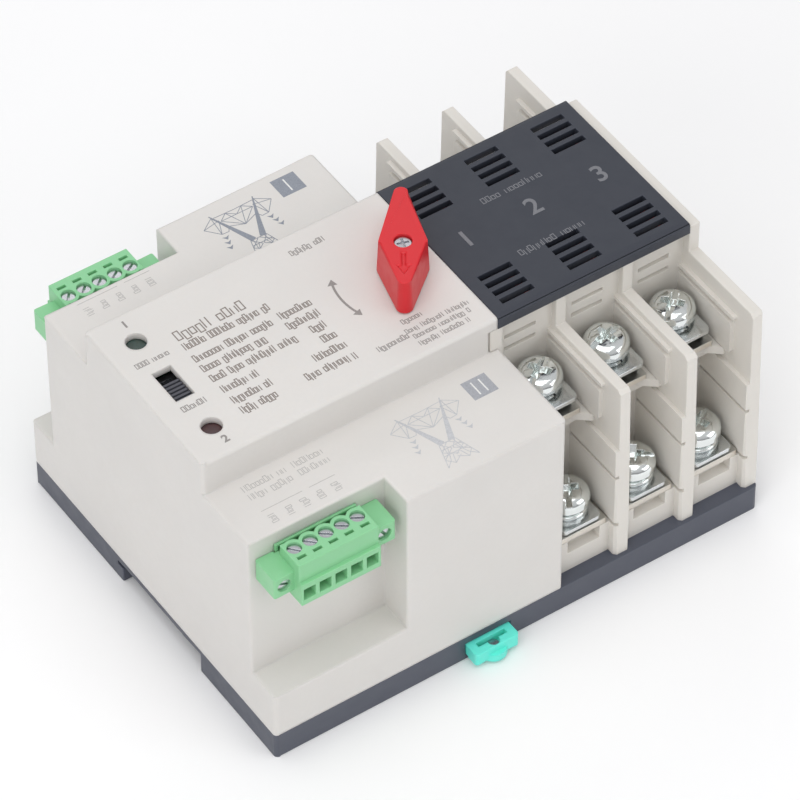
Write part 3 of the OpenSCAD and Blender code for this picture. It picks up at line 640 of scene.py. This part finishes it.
# rating block: left end, length and foot of each line, labels on the left and then values on the right
rating_lines = ((19.4, 26.9, 8.2), (19.2, 25.1, 2.9), (19.0, 20.6, -1.3), (19.1, 26.9, -5.7),
                (19.4, 10.9, -10.6), (19.5, 12.2, -15.4), (19.5, 11.2, -19.8),
                (46.8, 10.0, 3.3), (46.5, 10.6, -1.1), (51.1, 4.7, -5.7),
                (51.5, 4.1, -10.4), (45.9, 10.4, -15.0), (40.3, 15.8, -19.6))
form = bmesh.new()
words(form, (19.6, 12.2), 25.1, 3.7, top_z, 0.6, weight=0.09)
for x, length, y in rating_lines:
    words(form, (x, y), length, 2.7, top_z, 0.42, weight=0.1)
printed("rating_print", form, warm_ink)

# small lines on the cover's top: beside the knob and the slide switch, then the note in front of the knob
form = bmesh.new()
for x, y, length, size, spread in ((62.2, 21.6, 11, 2.0, 0.55), (61.8, -21.7, 10, 2.0, 0.55),
                                   (4.8, 9.6, 10.6, 1.9, 0.55), (6.6, -10.6, 7.2, 2.1, 0.6),
                                   (72.7, -16.8, 6.7, 1.8, 0.6), (71.6, -20.3, 20.2, 1.7, 0.6),
                                   (72.5, -23.0, 18.3, 1.7, 0.6), (72.4, -25.9, 16.3, 1.7, 0.6)):
    words(form, (x, y), length, size, top_z, spread)
printed("face_print", form, grey_ink)

# double arrow beside the knob
form = bmesh.new()
arrow_r = 19.9
sweep = [math.radians(a) for a in (*range(162, 196, 3), 196.5)]
band = [(knob_axis[0] + r * math.cos(a), r * math.sin(a))
        for r, turn in ((arrow_r - 0.35, 1), (arrow_r + 0.35, -1)) for a in sweep[::turn]]
for i in range(len(sweep) - 1):
    outer = len(band) - 1 - i
    stamp(form, [band[i], band[i + 1], band[outer - 1], band[outer]], top_z)
for root, tip, turn in ((162, 155.6, 1), (196.5, 202.6, -1)):
    places = [(tip, 0), (root, -1.4), (root, 1.4)]
    corners = [(math.radians(a), arrow_r + wing) for a, wing in places]
    stamp(form, [(knob_axis[0] + r * math.cos(a), r * math.sin(a)) for a, r in corners][::turn], top_z)
printed("turn_print", form, grey_ink)

# source squares, with one bar and two
x0, x1, half = 79, 86.75, 3.6
for name, look, y, marks in (("a", blue_ink, 55.2, (82.65,)), ("b", violet_ink, -38.1, (81.6, 84.1))):
    square, bars = bmesh.new(), bmesh.new()
    stamp(square, [(x0, y - half), (x1, y - half), (x1, y + half), (x0, y + half)], shoulder_z)
    for x in marks:
        stroke(bars, (x, y - 2.5), (x, y + 2.5), 0.45, shoulder_z, proud=0.06)
    printed(f"source_square_{name}", square, look)
    printed(f"source_bars_{name}", bars, pale_ink)


def pylon(x, y, z, look, name):
    """A lattice mast centred at x with its arm at y: two tapered legs, braced arms and a latticed foot."""
    bm = bmesh.new()
    # lines of the left half, each drawn on both halves
    arm = [((-11.1, 0), (-7, 2.9)), ((-11.1, 0), (-7.7, -4)), ((-11.1, 0), (-5.6, 1)),
           ((-7.7, -4), (-5.5, -4.1)), ((-7.7, -4), (-5.6, 1)), ((-7.7, -4), (-7, 2.9)),
           ((-5.5, -4.1), (-4.4, -2.2)), ((-6.4, 2.6), (0, 2.4)), ((-5.2, 0.4), (0, -4.2)),
           ((-5.2, 0.4), (0, 0.4)), ((-2.6, 2.4), (0, -4.2)), ((-2.6, 2.4), (-5.2, 0.4)),
           ((-4.4, -2.4), (0, -4.2)), ((0, 0.4), (-2.6, 2.4))]
    foot = [((-2.6, -10.6), (-5, -18.8)), ((-2.5, -10.6), (-0.2, -13.2)), ((-0.2, -10.6), (-3.4, -13.4)),
            ((-3.4, -13.4), (0.4, -15.8)), ((-0.2, -13.2), (-4.2, -16)), ((-4.2, -16), (-2.2, -18.2)),
            ((-2.2, -18.2), (-1.2, -15.2)), ((-5, -18.8), (-2.9, -16.8)), ((-3.3, -12.6), (0, -12.6)),
            ((-3.9, -14.8), (0, -14.8)), ((-2.6, -10.6), (0, -10.6)), ((-1.8, -10.6), (-2.4, -14.8)),
            ((-1.2, -12.6), (-2.9, -16.8)), ((-2.2, -18.2), (0.6, -16.4))]
    for (ax, ay), (bx, by) in arm + foot:
        for s in (-1, 1):
            stroke(bm, (x + s * ax, y + ay), (x + s * bx, y + by), 0.2, z)
    for s in (-1, 1):
        stroke(bm, (x - s * 1.5, y - 10.6), (x - s * 7.2, y + 3.8), 1.9, z, tip=0.3)
        for i in range(3):
            cx, cy = x + s * (7.4 + 0.5 * i), y - 6 - 1.9 * i
            arrow = [(cx, cy + 0.5), (cx + 1.1, cy + 0.9), (cx, cy - 0.6), (cx - 1.1, cy + 0.9)]
            stamp(bm, arrow, z, 0.02)
    return printed(name, bm, look)


pylon(64.8, 53.2, shoulder_z, blue_ink, "mast_a")
pylon(64.3, -39.1, shoulder_z, faint_ink, "mast_b")

# labels of the connector ways, and what each group is for
form = bmesh.new()
for y in (-34.5, -37.9):
    for x, length in ((9.8, 13.4), (25.6, 9.6)):
        words(form, (x, y), length, 2.2, shoulder_z, 0.62, weight=0.08)
for x in ways:
    for y in (-47.8, 43.6):
        words(form, (x + 0.9, y), 3.6, 2.0, shoulder_z, 0.55, turn=90, weight=0.08)
for y in (-42.6, 48.9):
    for x0, x1 in ((9.6, 22.6), (24.8, 33)):
        stroke(form, (x0, y), (x1, y), 0.14, shoulder_z)
printed("shoulder_print", form, light_ink)


def digit(text, x, y, size, z):
    """A raised numeral, as a mesh."""
    curve = bpy.data.curves.new("numeral", "FONT")
    curve.body = text
    curve.size = size * MM
    curve.align_x = curve.align_y = "CENTER"
    curve.extrude = 0.035 * MM
    curve.offset = 0.12 * MM
    made = bpy.data.objects.new("numeral", curve)
    mesh = bpy.data.meshes.new_from_object(made)
    mesh.transform(Matrix.Translation(at(x, y, z)))
    bpy.data.objects.remove(made)
    return mesh


# numerals of the poles, with a line of marks on each side, and numerals of the two lamps
form = bmesh.new()
for i, x in enumerate(pole_xs):
    form.from_mesh(digit(str(i + 1), x, 0, 8.6, top_z))
words(form, (116.6, 8.4), 22, 2.2, top_z, 0.7)
words(form, (113.8, -13.6), 21.6, 2.2, top_z, 0.7)
printed("cap_print", form, dim_ink)

form = bmesh.new()
for text, x, y in (("1", 10.8, 25.5), ("2", 10.5, -24.6)):
    form.from_mesh(digit(text, x, y, 3.6, top_z))
printed("lamp_marks", form, grey_ink)


# ---------------------------------------------------------------- setting

def stage_floor():
    """A pale paper floor under the object."""
    bm = bmesh.new()
    bmesh.ops.create_grid(bm, x_segments=1, y_segments=1, size=3)
    mesh = bpy.data.meshes.new("floor")
    bm.to_mesh(mesh)
    bm.free()
    made = bpy.data.objects.new("floor", mesh)
    bpy.context.scene.collection.objects.link(made)
    made.location.z = origin.z
    n = Nodes("floor_paper")
    patches = n.between(n.noise(0.2), 0.0, 1.0)
    n.set(Base_Color=n.mix(patches, (0.96, 0.96, 0.96), (0.98, 0.98, 0.98)), Roughness=0.9)
    made.data.materials.append(n.material)


def soft_box(name, place, size, power):
    """An area light that points at the middle of the object."""
    target = Vector((0, 0, 0.04))
    light = bpy.data.lights.new(name, "AREA")
    light.shape = "RECTANGLE"
    light.size, light.size_y = size
    light.energy = power
    made = bpy.data.objects.new(name, light)
    made.location = place
    made.rotation_euler = (target - Vector(place)).to_track_quat("-Z", "Y").to_euler()
    bpy.context.scene.collection.objects.link(made)


def surroundings():
    """A white tent that gets darker towards the ground, so metal has something to reflect."""
    world = bpy.data.worlds.new("tent")
    bpy.context.scene.world = world
    world.use_nodes = True
    tree = world.node_tree
    where = tree.nodes.new("ShaderNodeTexCoord")
    split = tree.nodes.new("ShaderNodeSeparateXYZ")
    ramp = tree.nodes.new("ShaderNodeValToRGB")
    tree.links.new(where.outputs["Generated"], split.inputs[0])
    tree.links.new(split.outputs["Z"], ramp.inputs["Fac"])
    stops = ramp.color_ramp.elements
    stops[0].position, stops[0].color = 0.0, (0.25, 0.25, 0.26, 1)
    stops[1].position, stops[1].color = 1.0, (0.9, 0.9, 0.92, 1)
    middle = stops.new(0.35)
    middle.color = (0.8, 0.8, 0.81, 1)
    tree.links.new(ramp.outputs["Color"], tree.nodes["Background"].inputs["Color"])
    tree.nodes["Background"].inputs["Strength"].default_value = 0.7


stage_floor()
surroundings()
soft_box("overhead", (-0.25, -0.2, 1.3), (1.2, 1.2), 6.1)
soft_box("front_left", (-1.1, -0.7, 0.7), (0.9, 0.9), 4.9)
soft_box("front_right", (0.8, -1.1, 0.6), (0.8, 0.8), 2.9)
soft_box("back", (0.4, 1.1, 0.8), (1.0, 0.6), 2.1)

bpy.context.scene.view_settings.view_transform = "Standard"


def camera(target, azimuth, elevation, roll, distance, lens):
    """Looks at target from a distance. Angles are in degrees: azimuth 0 is from -Y, and -90 from -X."""
    a, e, r = (math.radians(v) for v in (azimuth, elevation, roll))
    back = Vector((math.sin(a) * math.cos(e), -math.cos(a) * math.cos(e), math.sin(e)))
    right = Vector((0, 0, 1)).cross(back).normalized()
    up = back.cross(right)
    right, up = (math.cos(r) * right + math.sin(r) * up, math.cos(r) * up - math.sin(r) * right)
    data = bpy.data.cameras.new("camera")
    data.lens = lens
    data.sensor_width = 36
    made = bpy.data.objects.new("camera", data)
    bpy.context.scene.collection.objects.link(made)
    facing = Matrix((right, up, back)).transposed().to_4x4()
    made.matrix_world = Matrix.Translation(Vector(target) + back * distance) @ facing
    bpy.context.scene.camera = made


camera(target=(-0.00017, -0.00246, 0.03428), azimuth=-33.977, elevation=47.088, roll=-0.346,
       distance=1.62116, lens=263.48)
